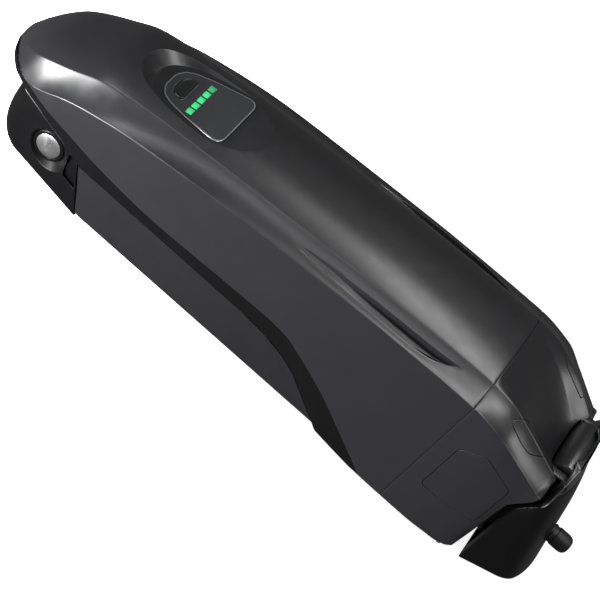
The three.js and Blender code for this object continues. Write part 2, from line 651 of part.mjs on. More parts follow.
function upperMount() {
  const top = (x) => 35.4 + (66 - x) * 0.135;
  const outline = [
    [14, top(14)], [14, 20], [15.2, 12], [19, 4.5], [25.5, 0], [82, 0], [80, 4.5], [66, top(66)],
  ];
  const plan = mirrored([[86, mountSide(86)], [20, 30], [16.2, 26.5], [14, 21]]);
  const block = bar("y", outline, -60, 60).intersect(bar("z", plan, -1, 60));
  const cavity = box(38, 65, -22, 22, -1, 30);
  const lockBore = bar("y", circle(LOCK.x, LOCK.z, LOCK.radius + 0.35), -40, -20);
  const collarBore = bar("y", circle(LOCK.x, LOCK.z, LOCK.radius + 2.4), -40, -29.8);
  const springBore = bar("x", circle(0, LATCH_Z, SPRING.radius + 1.2, 14), SPRING.start - 2, 50);
  const boltHoles = UPPER_BOLTS.flatMap(({ x, seat }) => [
    bar("z", circle(x, 0, BOLT.hole, 16), -1, 60),
    bar("z", circle(x, 0, BOLT.sink, 16), seat, 60),
  ]);
  const inlayWay = onMountSide(GAP, -5, 1.5);
  const bores = [lockBore, collarBore, latchWay(0.5), springBore, ...boltHoles];
  piece("upper_mount_housing", cut(block, cavity, ...bores, inlayWay), MOUNT);
  piece("upper_mount_inlay", onMountSide(0, 0, 1.1), PANEL);

  const collar = cut(
    bar("y", circle(LOCK.x, LOCK.z, LOCK.radius + 2.1), -33, -30.1),
    bar("y", circle(LOCK.x, LOCK.z, LOCK.radius + 0.35), -40, -20),
  );
  piece("lock_collar", collar, MOUNT);

  const keyOutline = rounded(LOCK.x - 0.6, LOCK.x + 0.6, LOCK.z - 4, LOCK.z + 4, 0.3, 1);
  const keyWay = bar("y", keyOutline, -LOCK.face - 1, -LOCK.face + 4);
  const barrel = bar("y", circle(LOCK.x, LOCK.z, LOCK.radius), -LOCK.face, -LOCK.inner);
  const cam = bar("y", circle(LOCK.x, LOCK.z - 4.6, 2, 12), -LOCK.inner - 0.5, -LOCK.inner + 2.6);
  piece("lock_cylinder", joined(cut(barrel, keyWay), cam), BRUSHED);

  const bolt = box(LATCH.tail, LATCH.tip, -LATCH.half, LATCH.half, LATCH.low, LATCH.high);
  const tail = bar("x", circle(0, LATCH_Z, 3, 12), 40, LATCH.tail + 1);
  piece("latch_bolt", joined(bolt, tail), STEEL);

  const coil = Array.from({ length: SPRING.turns * 8 + 1 }, (_, i) => {
    const angle = (i / 8) * 2 * Math.PI;
    const x = SPRING.start + (i / (SPRING.turns * 8)) * (SPRING.end - SPRING.start);
    return [x, SPRING.radius * Math.cos(angle), LATCH_Z + SPRING.radius * Math.sin(angle)];
  });
  piece("latch_spring", wire(coil, SPRING.wire, 40, 6), STEEL);

  UPPER_BOLTS.forEach(({ x, seat }, i) => {
    piece("upper_mount_bolt_" + (i + 1), socketBolt(x, 0, seat + GAP), STEEL);
  });
}

// ---- lower mount ------------------------------------------------------------------------------------

const mountInnerX = through([0, 361], [57, 361.4], [61, 363], [70, 368.8], [74, 370.4], [90, 371.6]);
const mountInnerWidth = through([0, 40], [57, 39.6], [73, 39], [79, 36], [85, 31], [90, 24]);
const mountOuterX = through(
  [0, 399], [30, 391.5], [45, 387.8], [61, 383], [75, 378], [84, 375.6], [90, 374],
);

function mountRing(z, inset, innerX) {
  const [xi, xo] = [innerX ?? mountInnerX(z), mountOuterX(z) - inset];
  const wide = mountInnerWidth(z) - inset;
  const narrow = Math.min(wide - 1, 31.6 - 0.04 * z - inset);
  const half = [
    [xi, wide], [xo - 11.5, narrow], [xo - 6, 0.87 * narrow], [xo - 2.6, 0.62 * narrow],
    [xo - 0.6, 0.28 * narrow],
  ];
  if (xo - 11.5 < xi + 1) half[1] = [xi + 1, Math.max(narrow, wide - 0.4)];
  return mirrored(half).map(([x, y]) => [x, y, z]);
}

// The hood is a wall that leans out at its foot, with a roll on its inner side between the pack's hooks.
function hoodBlock() {
  const outerLine = [[374, 90], [375.6, 84], [378, 75], [mountOuterX(HOOD_Z), HOOD_Z]];
  const wall = [[mountInnerX(HOOD_Z), HOOD_Z], [370.4, 74], [371.6, 90], ...outerLine];
  const lowest = Math.PI + Math.asin((SWING_Z - HOOD_Z) / ROLL_RADIUS);
  const highest = Math.acos(2.6 / ROLL_RADIUS);
  const roll = Array.from({ length: 17 }, (_, i) => {
    const angle = lowest + (i / 16) * (highest - lowest);
    return [SWING_X + ROLL_RADIUS * Math.cos(angle), SWING_Z + ROLL_RADIUS * Math.sin(angle)];
  });
  const plan = mirrored([[350, 39.2], [369.6, 39], [374, 27], [377.3, 17.8], [379.2, 8]]);
  const rightSide = [[39.2, HOOD_Z], [38.5, 75], [36, 79], [31, 85], [24, 90]];
  const front = [...rightSide, ...rightSide.map(([y, z]) => [-y, z]).reverse()];
  return joined(bar("y", wall, -45, 45), bar("y", [...roll, ...wall.slice(2)], -ROLL_HALF, ROLL_HALF))
    .intersect(bar("z", plan, 60, 100))
    .intersect(bar("x", front, 340, 400));
}

function lowerMount() {
  const upright = [3, 15, 30, 45, 57, 61, 66, HOOD_Z - GAP].map((z) => mountRing(z, 0));
  const shellRings = [mountRing(0, 0.8), ...upright];
  const hollowRings = [4, 15, 30, 45, 57, 66.5].map((z) => mountRing(z, 3.2, 340));
  const glandBore = bar("x", circle(0, GLAND_Z, 6.1, 20), 380, 410);
  const boltHoles = both((side) =>
    bar("z", circle(LOWER_BOLTS.x, side * LOWER_BOLTS.y, BOLT.hole, 16), -1, 10),
  );
  const housing = cut(loft(shellRings), loft(hollowRings), glandBore, ...boltHoles);
  piece("lower_mount_housing", housing, MOUNT);

  const hookRooms = both((side) =>
    bar("y", circle(SWING_X, SWING_Z, HOOK.radius + 1, 20), ...span(side, ROLL_HALF, HOOK.outer + 0.6)),
  );
  const boreHalf = PIN_HALF + 1.5;
  const pinBore = bar("y", circle(SWING_X, SWING_Z, PIN_RADIUS + 0.05, 20), -boreHalf, boreHalf);
  piece("lower_mount_hood", cut(hoodBlock(), ...hookRooms, pinBore), MOUNT);
  const pin = bar("y", circle(SWING_X, SWING_Z, PIN_RADIUS - 0.02, 20), -PIN_HALF, PIN_HALF);
  piece("hinge_pin", pin, STEEL);

  const block = box(359.4, 377, -15, 15, 4.4, 36);
  const ledge = box(361.5, 377, -19, 19, 4.4, 9);
  const bladeSlots = BLADE_OFFSETS.map((y) => box(358, 370, y - 0.75, y + 0.75, 17.7, 30.3));
  piece("connector_block", cut(joined(block, ledge), ...bladeSlots), TRAY);
  BLADE_OFFSETS.forEach((y, i) => {
    piece("terminal_blade_" + (i + 1), box(350.5, 369.6, y - 0.45, y + 0.45, 18, 30), COPPER);
  });
  both((side) => {
    const bolt = socketBolt(LOWER_BOLTS.x, side * LOWER_BOLTS.y, LOWER_BOLTS.seat);
    piece("lower_mount_bolt_" + (side < 0 ? 1 : 2), bolt, STEEL);
  });

  const gland = new THREE.LatheGeometry(
    [
      [0, 386], [5.8, 386], [5.8, 402.5], [5, 404.8], [3.2, 405.8], [0, PLUG_END_X],
    ].map(([r, x]) => new THREE.Vector2(r, x)),
    20,
  );
  gland.rotateZ(-Math.PI / 2);
  gland.translate(0, 0, GLAND_Z);
  piece("cable_gland", solidOf(gland), RUBBER);
}

packShells();
display();
cells();
electronics();
upperMount();
lowerMount();

export default root;
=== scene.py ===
"""Looks for the e-bike battery pack: moulded shells, panel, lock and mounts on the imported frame.

Sizes are millimetres, measured along X from a station just behind the pack's nose, and place() turns
them into the frame's metres.
"""

import json
import math

import bmesh
import bpy
from mathutils import Matrix, Vector


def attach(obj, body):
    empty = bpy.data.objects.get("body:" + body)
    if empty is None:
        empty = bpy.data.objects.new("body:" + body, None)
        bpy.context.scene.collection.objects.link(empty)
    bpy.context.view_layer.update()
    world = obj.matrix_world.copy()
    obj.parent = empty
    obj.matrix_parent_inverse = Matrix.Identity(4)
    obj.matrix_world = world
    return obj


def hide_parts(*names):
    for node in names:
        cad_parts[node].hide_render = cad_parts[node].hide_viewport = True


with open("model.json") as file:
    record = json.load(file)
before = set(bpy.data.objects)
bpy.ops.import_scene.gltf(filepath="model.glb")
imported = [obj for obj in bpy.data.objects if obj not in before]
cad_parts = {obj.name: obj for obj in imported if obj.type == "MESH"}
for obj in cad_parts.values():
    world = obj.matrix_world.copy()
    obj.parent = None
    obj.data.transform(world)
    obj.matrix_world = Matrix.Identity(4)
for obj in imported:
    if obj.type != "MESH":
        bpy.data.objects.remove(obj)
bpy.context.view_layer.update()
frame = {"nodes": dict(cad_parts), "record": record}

# ---- driving dimensions ----------------------------------------------------------------------------

NOSE_X = -3
SEAM_X = 306
END_X = 366.5
GLAND_END_X = 406
HALF_WIDTH = 45.5
BASE_Z = 1.5
GAP = 0.3
WALL = 2.6
SHIFT_X = -(NOSE_X + GLAND_END_X) / 2

SWING_X = 369
SWING_Z = 78
ROLL_RADIUS = 9.2
ROLL_HALF = 19.4
PIN_RADIUS = 2.45
HOOK_INNER = 20.4
HOOK_OUTER = 25.6
HOOK_RADIUS = 5.4

LOCK_X = 47.4
LOCK_Z = 21.8
LOCK_RADIUS = 7.6
LOCK_FACE = -32.4

PANEL_X = 100
PANEL_Z = 93.7
PANEL_SLOPE = 0.2
LED_COUNT = 5

HOOD_Z = 70.3
GLAND_Z = 22

SMOOTH_ANGLE = math.radians(32)
BEVEL_ANGLE = math.radians(28)
BEVEL_SEGMENTS = 3
CORNER_STEPS = 4
CROWN_POINTS = 16


def place(x, y, z):
    return Vector(((x + SHIFT_X) / 1000, y / 1000, z / 1000))


# ---- curves and meshes -----------------------------------------------------------------------------


def through(*points):
    """A smooth curve through stations that never overshoots them."""
    last = len(points) - 1

    def secant(i):
        return (points[i + 1][1] - points[i][1]) / (points[i + 1][0] - points[i][0])

    def slope(i):
        if i in (0, last):
            return secant(0 if i == 0 else last - 1)
        before, after = secant(i - 1), secant(i)
        return 0 if before * after <= 0 else 2 * before * after / (before + after)

    def value(x):
        if x <= points[0][0]:
            return points[0][1]
        if x >= points[last][0]:
            return points[last][1]
        i = next(k for k in range(last) if x <= points[k + 1][0])
        span = points[i + 1][0] - points[i][0]
        t = (x - points[i][0]) / span
        a, b = points[i][1], points[i + 1][1]
        da, db = slope(i) * span, slope(i + 1) * span
        return a + t * (da + t * (3 * (b - a) - 2 * da - db + t * (2 * (a - b) + da + db)))

    return value


def steps(low, high, spacing):
    count = max(1, round((high - low) / spacing))
    return [low + (high - low) * i / count for i in range(count + 1)]


def mesh_object(name, vertices, faces):
    """A mesh object in metres from millimetre vertices, shaded smooth up to SMOOTH_ANGLE."""
    mesh = bpy.data.meshes.new(name)
    mesh.from_pydata([place(*v) for v in vertices], [], faces)
    obj = bpy.data.objects.new(name, mesh)
    bpy.context.scene.collection.objects.link(obj)
    tidy_normals(obj)
    return obj


def tidy_normals(obj):
    """Merges doubled points, turns every face outward and marks the sharp edges."""
    work = bmesh.new()
    work.from_mesh(obj.data)
    bmesh.ops.remove_doubles(work, verts=work.verts, dist=1e-6)
    bmesh.ops.recalc_face_normals(work, faces=work.faces)
    if work.calc_volume(signed=True) < 0:
        bmesh.ops.reverse_faces(work, faces=work.faces)
    work.to_mesh(obj.data)
    work.free()
    obj.data.polygons.foreach_set("use_smooth", [True] * len(obj.data.polygons))
    obj.data.set_sharp_from_angle(angle=SMOOTH_ANGLE)


def open_tube(rings):
    """Vertices and faces of a tube through rings of equal length, closed at its first ring only."""
    count = len(rings[0])
    vertices = [v for ring in rings for v in ring]
    faces = []
    for r in range(len(rings) - 1):
        for i in range(count):
            a, b = r * count + i, r * count + (i + 1) % count
            faces.append((a, b, b + count, a + count))
    faces.append(tuple(reversed(range(count))))
    return vertices, faces


def loft(name, rings):
    """A closed body through rings of equal length, with a flat face at each end."""
    vertices, faces = open_tube(rings)
    faces.append(tuple(range(len(vertices) - len(rings[0]), len(vertices))))
    return mesh_object(name, vertices, faces)


def prism(name, axis, outline, low, high, edge=0.0):
    """An outline extruded along an axis, with its edges rounded."""
    order = {
        "x": lambda u, v, w: (w, u, v),
        "y": lambda u, v, w: (u, w, v),
        "z": lambda u, v, w: (u, v, w),
    }[axis]
    obj = loft(name, [[order(u, v, w) for u, v in outline] for w in (low, high)])
    if edge:
        bevel(obj, edge)
    return obj


def apply(obj, modifier):
    with bpy.context.temp_override(object=obj, active_object=obj):
        bpy.ops.object.modifier_apply(modifier=modifier.name)


def bevel(obj, width):
    modifier = obj.modifiers.new("bevel", "BEVEL")
    modifier.width = width / 1000
    modifier.segments = BEVEL_SEGMENTS
    modifier.limit_method = "ANGLE"
    modifier.angle_limit = BEVEL_ANGLE
    modifier.use_clamp_overlap = True
    apply(obj, modifier)
    tidy_normals(obj)


def boolean(obj, tool, operation="DIFFERENCE"):
    """Combines obj with a tool, which is used up."""
    modifier = obj.modifiers.new("cut", "BOOLEAN")
    modifier.operation = operation
    modifier.solver = "MANIFOLD"
    modifier.object = tool
    apply(obj, modifier)
    bpy.data.objects.remove(tool)


def cut(obj, *tools):
    for tool in tools:
        boolean(obj, tool)
    tidy_normals(obj)


def join(first, *others):
    """Merges meshes that touch or stand on one another into one object."""
    work = bmesh.new()
    for obj in (first, *others):
        work.from_mesh(obj.data)
    work.to_mesh(first.data)
    work.free()
    for obj in others:
        bpy.data.objects.remove(obj)


def circle(u, v, radius, sides=48):
    turns = [2 * math.pi * (i + 0.5) / sides for i in range(sides)]
    return [(u + radius * math.cos(a), v + radius * math.sin(a)) for a in turns]


def mirrored(half):
    return list(half) + [(u, -v) for u, v in reversed(half)]


def rounded(outline, radius, count=5):
    """The outline with each corner replaced by a short curve."""
    return rounded_by(outline, [radius] * len(outline), count, 0.45)


def rounded_by(outline, radii, count, share=0.48):
    """Like rounded, with a radius for each corner; a curve takes at most a share of each side."""
    points = [Vector(p) for p in outline]
    result = []
    for i, (corner, radius) in enumerate(zip(points, radii)):
        before, after = points[i - 1] - corner, points[(i + 1) % len(points)] - corner
        reach = min(radius, share * before.length, share * after.length)
        start, end = corner + before.normalized() * reach, corner + after.normalized() * reach
        for k in range(count + 1):
            t = k / count
            result.append(tuple(start * (1 - t) ** 2 + corner * 2 * t * (1 - t) + end * t**2))
    return result


def lathe(name, axis, centre, profile, sides=64):
    """A body turned about a line along axis through centre; profile is (along, radius)."""
    rings = []
    for along, radius in profile:
        ring = circle(0, 0, max(radius, 0.001), sides)
        if axis == "x":
            rings.append([(along, centre[1] + u, centre[2] + v) for u, v in ring])
        else:
            rings.append([(centre[0] + u, along, centre[2] + v) for u, v in ring])
    return loft(name, rings)


# ---- the pack's outer form -------------------------------------------------------------------------
# Each section runs from the crown over the ridge, down a slanted channel to the widest line, down the
# side to the foot, and in under the foot to the lip.

ridge_width = through(
    (NOSE_X, 6), (5, 18), (16, 26), (34, 29), (60, 30), (330, 29.8), (344, 29), (367, 25)
)
ridge_height = through(
    (NOSE_X, 47), (5, 55), (16, 63.5), (34, 74), (53, 84), (76, 88.8), (119, 94.5), (178, 100),
    (240, 105), (SEAM_X, 107.4), (319.5, 105.9), (330, 101.8), (344, 94.7), (367, 80),
)
crown_rise = through(
    (NOSE_X, 2), (5, 5), (16, 6.5), (34, 6.5), (53, 5.5), (100, 4.5), (SEAM_X, 3.6)
)
wide_height = through(
    (NOSE_X, 46), (8, 48), (25, 54.5), (40, 64.6), (56, 72), (80, 79.5), (132, 88.7), (184, 93.4),
    (251, 98), (SEAM_X, 99.4), (328, 95.4), (342, 88.1), (363, 76.4),
)
wide_width = through(
    (NOSE_X, 8), (1, 19), (8.5, 29), (17, 34), (25, 37.5), (40, 40.7), (80, 44), (125, HALF_WIDTH),
    (328, HALF_WIDTH), (342, 43.7), (357, 41), (363, 40),
)
foot_height = through(
    (NOSE_X, 46.5), (5, 49.5), (25, 50.6), (50, 48.6), (82, 46), (114, 45), (173, 47), (197, 47.6),
    (210, 46.5), (222, 42), (244, 31.5), (271, 14.5), (293, 0.5),
)
foot_width = through(
    (NOSE_X, 7.5), (1, 18), (17, 33.5), (40, 40.3), (125, 45), (271, 45), (308, 45.6), (323, 45.6),
    (337, 44.6), (350, 42), (356, 37),
)
lip_height = through(
    (NOSE_X, 44), (25, 45), (49, 41), (62, 37), (70, 34.8), (185, 34), (202, 32.4), (217, 28.6),
    (227, 24),
    (236, 17.3), (249, 7.4), (259, -0.5), (293, -30),
)
lip_width = through(
    (NOSE_X, 5), (1, 16), (8.5, 26.6), (17, 31.8), (25, 35.4), (40, 38.6), (70, 41)
)
valley_width = through((SEAM_X, 23.4), (324.5, 19.6), (336, 19.5), (360, 15.3))
valley_height = through((SEAM_X, 109.1), (324.5, 103), (336, 95.6), (360, 78.8))
valley_dip = through((SEAM_X, -1.9), (324, 1), (340, 3), (360, 3.5))

# The finger grip: how deep its floor lies under the channel, and where its edges run across it.
grip_depth = through((182, 0), (205, 0.9), (236, 3.6), (270, 4.2), (281, 3.0), (286.5, 0))
grip_top = through((182, 0.42), (215, 0.36), (268, 0.33), (287, 0.28))
grip_foot = through((182, 0.56), (215, 0.70), (258, 0.76), (270, 0.70), (281, 0.5), (287, 0.34))
grip_presence = through((150, 0), (182, 1), (287, 1), (300, 0))


def crown_points(x):
    """Across the crown to the ridge: one bow on the shell, a valley and its bank on the end cap."""
    w, z, rise = ridge_width(x), ridge_height(x), crown_rise(x)
    if x <= SEAM_X:
        return [[(f * w, z + rise * (1 - f**2.6)) for f in spread(CROWN_POINTS)]]
    wi, zi, dip = valley_width(x), valley_height(x), valley_dip(x)
    valley = [(f * wi, zi - dip * (1 - f * f)) for f in spread(CROWN_POINTS)]
    bank = [
        (wi + (w - wi) * f, zi + (z - zi) * f + 1.2 * f * (1 - f)) for f in spread(6)
    ]
    return [valley, bank]


def spread(count):
    return [i / (count - 1) for i in range(count)]


def channel_points(x):
    """Across the channel from the ridge to the widest line, with the grip's trough let in."""
    w1, z1, w2, z2 = ridge_width(x), ridge_height(x), wide_width(x), wide_height(x)
    hollow = min(1, (w2 - w1) / 12) * 1.125
    top, foot, depth = grip_top(x), grip_foot(x), grip_depth(x)
    wall = min(0.05, (foot - top) / 4.5)
    marks = [
        *[(top * f, 0) for f in (0, 0.3, 0.6, 0.85)], (top, 0), (top + 0.3 * wall, 0.25),
        (top + 0.7 * wall, 0.8), (top + wall, 0.96), (top + 1.6 * wall, 1),
        (0.5 * (top + foot), 1), (foot - 1.9 * wall, 1), (foot - 1.2 * wall, 0.94),
        (foot - 0.7 * wall, 0.6), (foot - 0.25 * wall, 0.08), (foot, -0.06),
        (foot + 0.15 * (1 - foot), -0.09), (foot + 0.35 * (1 - foot), -0.03),
        *[(foot + (1 - foot) * f, 0) for f in (0.65, 1)],
    ]
    near = grip_presence(x)
    marks = [(f + (t - f) * near, share) for (t, share), f in zip(marks, spread(len(marks)))]
    return [
        (w1 + (w2 - w1) * t, z1 + (z2 - z1) * t - hollow * 4 * t * (1 - t) - depth * share)
        for t, share in marks
    ]


def side_points(x):
    w2, z2 = wide_width(x), wide_height(x)
    foot = (foot_width(x), max(foot_height(x), BASE_Z + 0.8))
    reach = min(1, (foot[1] - BASE_Z) / max(foot[1] - lip_height(x), 0.01))
    lip = [foot[0] + (lip_width(x) - foot[0]) * reach, max(lip_height(x), BASE_Z)]
    if lip[1] == BASE_Z:
        lip[0] = min(lip[0], foot[0] - 0.8)
    side = [
        (w2 + (foot[0] - w2) * f + 1.2 * f * (1 - f), z2 + (foot[1] - z2) * f)
        for f in spread(14)
    ]
    under = [
        (foot[0] + (lip[0] - foot[0]) * f, foot[1] + (lip[1] - foot[1]) * f) for f in spread(4)
    ]
    return side, under


def soften(runs, sizes):
    """One polyline from runs that meet at corners, each corner rounded over its own size."""
    points = list(runs[0][:-1])
    for before, after, size in zip(runs, runs[1:], sizes):
        corner = Vector(before[-1])
        back, ahead = Vector(before[-2]) - corner, Vector(after[1]) - corner
        start = corner + back.normalized() * min(size, 0.45 * back.length)
        end = corner + ahead.normalized() * min(size, 0.45 * ahead.length)
        for k in range(CORNER_STEPS + 1):
            t = k / CORNER_STEPS
            points.append(tuple(start * (1 - t) ** 2 + corner * 2 * t * (1 - t) + end * t**2))
        points.extend(after[1:-1])
    points.append(runs[-1][-1])
    return points


def half_section(x, inset=0.0):
    side, under = side_points(x)
    crown = crown_points(x)
    runs = [*crown, channel_points(x), side, under]
    sizes = [0.7, 0.6, 0.7] if len(crown) == 1 else [1.6, 0.7, 0.6, 0.7]
    return inward(soften(runs, sizes), inset)


def inward(points, inset):
    """The polyline moved in by a small distance along its own normals."""
    moved = []
    for i, (y, z) in enumerate(points):
        a, b = Vector(points[max(i - 1, 0)]), Vector(points[min(i + 1, len(points) - 1)])
        along = (b - a).normalized()
        moved.append((max(0.0, y + along.y * inset), z - along.x * inset))
    return moved


def ring_of(half, to_point, floor=None):
    """A full section from its right half: the far half is its mirror image, closed along the floor."""
    floor = half[-1][1] if floor is None else floor
    lip = half[-1][0]
    bottom = [(lip * f, floor) for f in (0.97, 0.6, 0.3)]
    right = half + bottom
    left = [(-y, z) for y, z in reversed(right) if y > 1e-6]
    return [to_point(y, z) for y, z in right + [(0.0, floor)] + left]


def shell_stations():
    nose = [NOSE_X, -2.2, -1.2, 0, 1.5, 3, 5, 7, 9, 11.5]
    return nose + steps(14, 192, 2.6) + steps(193.5, 287, 1.35) + steps(289, 304.6, 2.2)


def main_form():
    """The main shell's outer form, with its edge rounded down into the seam."""
    sections = [(x, 0.0) for x in shell_stations()]
    sections += [(SEAM_X - back, drop) for back, drop in ((0.5, 0.03), (0.25, 0.1), (0.08, 0.26))]
    rings = [
        ring_of(half_section(x, drop), lambda y, z, x=x: (x, y, z)) for x, drop in sections
    ]
    return loft("main_form", rings)


# ---- end cap ---------------------------------------------------------------------------------------

# The cap's end seen from the side: upright up to the beak that overhangs the lower mount.
end_line = through(
    (0, 354.4), (20, 355.5), (56, 357), (62, 360), (70.5, 365), (79, END_X), (120, END_X)
)


def cap_form(name, start=SEAM_X + 0.06):
    """The end cap as rings that slide from the seam to the shaped end."""
    shares = [0, 0.004, 0.01, *[i / 48 for i in range(1, 48)], 0.992, 1]
    drops = {0: 0.26, 0.004: 0.08, 0.01: 0.02}
    ends = [(0.25, 0.05), (0.6, 0.4), (1.1, 1.0)]

    def station(share, z):
        return start + share * (end_line(z) - 1.1 - start)

    def point_at(share, i, drop):
        x = start + share * (END_X - 6 - start)
        for _ in range(4):
            x = station(share, half_section(min(x, 366), drop)[i][1])
        return (x, *half_section(min(x, 366), drop)[i])

    count = len(half_section(320))
    rings = [[point_at(share, i, drops.get(share, 0.0)) for i in range(count)] for share in shares]
    last = rings[-1]
    for forward, drop in ends:
        flat = inward([(y, z) for _, y, z in last], drop)
        rings.append([(x + forward, y, z) for (x, _, _), (y, z) in zip(last, flat)])
    full = []
    for half in rings:
        bottom_x, lip, floor = half[-1]
        bottom = [(bottom_x, lip * f, floor) for f in (0.97, 0.6, 0.3, 0)]
        right = half + bottom
        left = [(x, -y, z) for x, y, z in reversed(right[:-1]) if y > 1e-6]
        full.append(right + left)
    return capped_loft(name, full)


def capped_loft(name, rings):
    """A loft whose far end is closed by strips between its left and right halves."""
    vertices, faces = open_tube(rings)
    count = len(rings[0])
    base = (len(rings) - 1) * count
    half = count // 2
    for i in range(half):
        a, b = base + i, base + i + 1
        c, d = base + (count - i - 1) % count, base + (count - i) % count
        faces.append(tuple(dict.fromkeys((a, b, c, d))))
    return mesh_object(name, vertices, [f for f in faces if len(f) > 2])


def surface_z(x, y):
    """Height of the outer form above a point of the plan."""
    half = half_section(x)
    for (y0, z0), (y1, z1) in zip(half, half[1:]):
        if y0 <= abs(y) <= y1 and y1 > y0:
            return z0 + (z1 - z0) * (abs(y) - y0) / (y1 - y0)
    return half[0][1]


def surface_y(x, z):
    """Half width of the outer form at a height on its side."""
    half = half_section(x)
    start = max(range(len(half)), key=lambda i: half[i][0] if half[i][1] > wide_height(x) - 2 else 0)
    for (y0, z0), (y1, z1) in zip(half[start:], half[start + 1:]):
        if z1 <= z <= z0 and z0 > z1:
            return y0 + (y1 - y0) * (z0 - z) / (z0 - z1)
    return HALF_WIDTH


# ---- display ---------------------------------------------------------------------------------------


def panel_plane(x, height):
    return PANEL_Z + PANEL_SLOPE * (x - PANEL_X) + height


def on_panel(name, layers):
    """A body through outlines laid on the panel's slope; layers are (outline, height)."""
    rings = [[(x, y, panel_plane(x, height)) for x, y in outline] for outline, height in layers]
    return loft(name, rings)


def panel_outline(grow):
    half = [
        (118 + grow, 16.5 + 0.4 * grow), (116.3 + grow, 20 + grow), (113, 20.8 + grow),
        (95, 17.8 + grow), (83.5, 14.5 + grow), (78.5 - 0.7 * grow, 11.3 + 0.7 * grow),
        (75.6 - grow, 5.5),
    ]
    return rounded(mirrored(half), 1.7)


def scoop_outline(grow, nose=0.0):
    half = [
        (143 + grow, 21 + grow), (118, 24 + grow), (100, 22.5 + grow), (84, 20 + grow),
        (72 + nose, 16.5 + grow), (65.5 + nose - 0.7 * grow, 12 + 0.7 * grow), (62 + nose - grow, 5),
    ]
    return rounded(mirrored(half), 9, 7)


def button_outline(grow):
    half = [
        (87.7 + grow, 8.4 + grow), (85.5, 9.3 + grow), (82.6 - 0.5 * grow, 8.6 + 0.8 * grow),
        (80.2 - 0.9 * grow, 6 + 0.5 * grow), (79.4 - grow, 2.4),
    ]
    return rounded(mirrored(half), 1.6)


def led_outline(i, grow):
    middle = (i - (LED_COUNT - 1) / 2) * 5.9 - 0.9
    x0, x1, y0, y1 = 93.2 - grow, 96.6 + grow, middle - 2.3 - grow, middle + 2.3 + grow
    return rounded([(x0, y0), (x1, y0), (x1, y1), (x0, y1)], 0.4, 2)


def scoop_tool():
    layers = [
        (scoop_outline(0, 5.5), -0.5), (scoop_outline(1.4, 3.2), 1.6), (scoop_outline(5, -1.5), 7),
    ]
    return on_panel("scoop_tool", [*layers, (scoop_outline(12, -8), 20)])


def display():
    bezel = on_panel(
        "panel_trim",
        [(panel_outline(0.6), -1.6), (panel_outline(0.6), -0.3), (panel_outline(0.45), -0.12)],
    )
    finish_piece(bezel, "pack", TRIM, "trim_metal", "display_bezel")

    plate = on_panel(
        "panel_plate",
        [
            (panel_outline(-0.1), -1.55), (panel_outline(-0.1), -0.12), (panel_outline(-0.22), -0.02),
            (panel_outline(-0.45), 0.0),
        ],
    )
    wells = [on_panel("led_well", [(led_outline(i, 0.18), -1.0), (led_outline(i, 0.18), 2)])
             for i in range(LED_COUNT)]
    button_well = on_panel(
        "button_well",
        [(button_outline(0.3), -1.2), (button_outline(0.3), -0.2), (button_outline(0.6), 0.3)],
    )
    cut(plate, *wells, button_well)
    finish_piece(plate, "pack", PANEL, "panel_plastic", "display_panel")

    for i in range(LED_COUNT):
        lens = on_panel(
            f"led_lens_{i + 1}",
            [(led_outline(i, 0), -0.95), (led_outline(i, 0), -0.05), (led_outline(i, -0.25), 0.06)],
        )
        finish_piece(lens, "pack", DIM_LED if i == LED_COUNT - 1 else LIT_LED, "led_window",
                     f"led_window_{i + 1}")

    key = on_panel(
        "power_key",
        [
            (button_outline(0.1), -0.38), (button_outline(0.05), 0.5), (button_outline(-0.12), 0.85),
            (button_outline(-0.4), 1.1), (button_outline(-0.75), 1.15), (button_outline(-1.1), 1.0),
            (button_outline(-1.5), 0.85), (button_outline(-2.6), 0.8),
        ],
    )
    finish_piece(key, "button", SOFT, "soft_rubber", "power_button")


# ---- shells ----------------------------------------------------------------------------------------


def hollow_form():
    stations = [3, 6, 10, 17, 25, 34, 44, 55, 70, 84, 105, 132, 160, 190, 212, 233, 259, 280, 295, 312]
    rings = []
    for x in stations:
        at = min(x, SEAM_X)
        low, high = lip_height(at), wide_height(at)
        shrink = 1 - WALL / wide_width(at)
        half = [
            (y * shrink, z - WALL * min(1, max(0, (z - low) / (high - low))))
            for y, z in half_section(at)
        ]
        rings.append(ring_of(half, lambda y, z, x=x: (x, y, z), floor=-20))
    return loft("hollow_form", rings)


def upper_shell():
    shell = main_form()
    room = hollow_form()
    liner = on_panel("liner", [(scoop_outline(3, 3), -4.4), (scoop_outline(6, 0), 12)])
    cut(room, liner)
    pocket = on_panel("pocket", [(panel_outline(0.85), -1.9), (panel_outline(0.85), 2)])
    cut(shell, room, scoop_tool(), pocket)
    shell.name = "shell_skin"
    finish_piece(shell, "pack", SHELL, "shell_plastic", "upper_shell")
    # The faces under the foot line, the undercut band, get a darker and duller copy of the shell
    # plastic: painted shade where the band faces the floor.
    shell.data.materials.append(PAINTED_SHADE_BAND)
    for face in shell.data.polygons:
        x, z = 1000 * face.center.x - SHIFT_X, 1000 * face.center.z
        if x < 300 and z < foot_height(x) + 0.3:
            face.material_index = 1


def plug_outline(side, grow):
    points = [
        (334 - grow, 25.6 - grow), (351.8 + grow, 25.2 - grow), (352.4 + grow, 28 + 0.3 * grow),
        (344.5 + 0.7 * grow, 34.5 + 0.7 * grow), (337.5, 36 + grow), (328, 35.9 + grow),
        (325.4 - grow, 34.4 + 0.3 * grow),
    ]
    return [(x, side * y) for x, y in rounded(points, 2, 4)]


def plug_tool(side, grow, depth):
    outline = plug_outline(side, grow)
    low = [(x, y, surface_z(x, y) - depth) for x, y in outline]
    return loft("plug_tool", [low, [(x, y, 125) for x, y, _ in low]])


